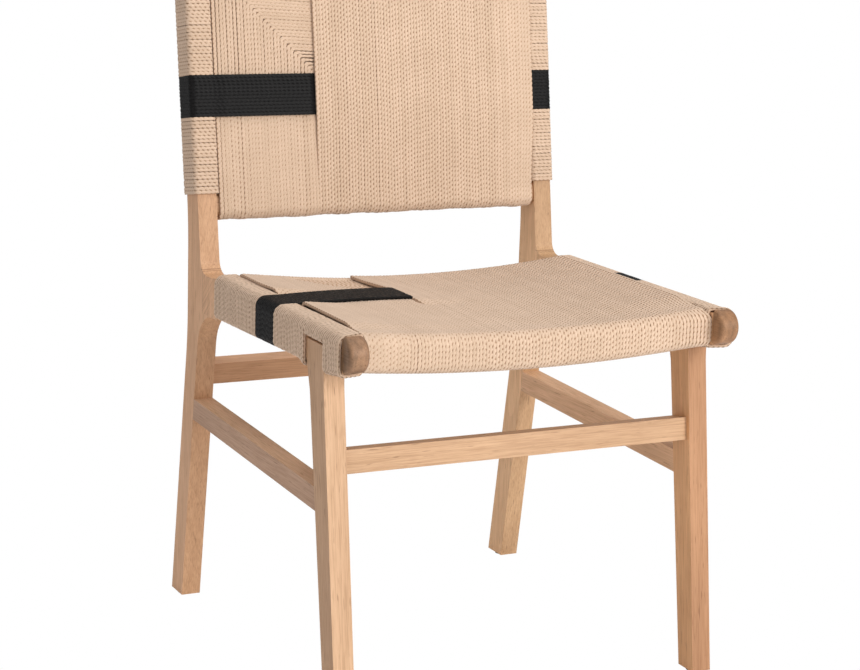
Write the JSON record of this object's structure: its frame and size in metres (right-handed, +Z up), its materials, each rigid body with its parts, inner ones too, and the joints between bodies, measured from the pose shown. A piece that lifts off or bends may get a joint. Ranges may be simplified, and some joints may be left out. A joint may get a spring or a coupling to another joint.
{
  "type": "dining chair",
  "caption": "Wooden dining chair with a seat and back wound from twisted cord, splayed legs and stretchers.",
  "frame": {"origin": "middle of the footprint on the floor: centre of the whole chair's box in X and Y, floor in Z", "axes": "+Z up; the chair faces -Y, so the back is at +Y; +X to the right as one looks at its front"},
  "size_m": [0.4984, 0.5354, 0.838],
  "materials": {
    "oak": "oiled, satin",
    "natural_cord": "twisted cord, waxed, matte",
    "black_cord": "twisted cord, dyed black, matte",
    "glide": "moulded, matte"
  },
  "bodies": {
    "root": {"rear_leg_left": "oak", "rear_leg_right": "oak", "front_leg_left": "oak", "front_leg_right": "oak", "seat_side_rail_left": "oak", "seat_side_rail_right": "oak", "seat_front_rail": "oak", "seat_rear_rail": "oak", "back_top_rail": "oak", "back_bottom_rail": "oak", "front_stretcher": "oak", "rear_stretcher": "oak", "side_stretcher_left": "oak", "side_stretcher_right": "oak", "glide_rear_left": "glide", "glide_rear_right": "glide", "glide_front_left": "glide", "glide_front_right": "glide", "seat_wide_band": "natural_cord", "seat_left_band": "natural_cord", "seat_corner_band": "natural_cord", "seat_wrap_left_front": "natural_cord", "seat_wrap_left_rear": "natural_cord", "seat_wrap_right_front": "natural_cord", "seat_wrap_right_rear": "natural_cord", "seat_cross_cords_upper": "natural_cord", "seat_cross_cords_lower": "natural_cord", "back_wide_band": "natural_cord", "back_left_band": "natural_cord", "back_corner_band": "natural_cord", "back_wrap_left_lower": "natural_cord", "back_wrap_left_upper": "natural_cord", "back_wrap_right_lower": "natural_cord", "back_wrap_right_upper": "natural_cord", "back_cross_cords_front": "natural_cord", "back_cross_cords_rear": "natural_cord", "seat_black_band": "black_cord", "seat_black_wrap_right": "black_cord", "back_black_band": "black_cord", "back_black_wrap_right": "black_cord"}
  },
  "joints": []
}
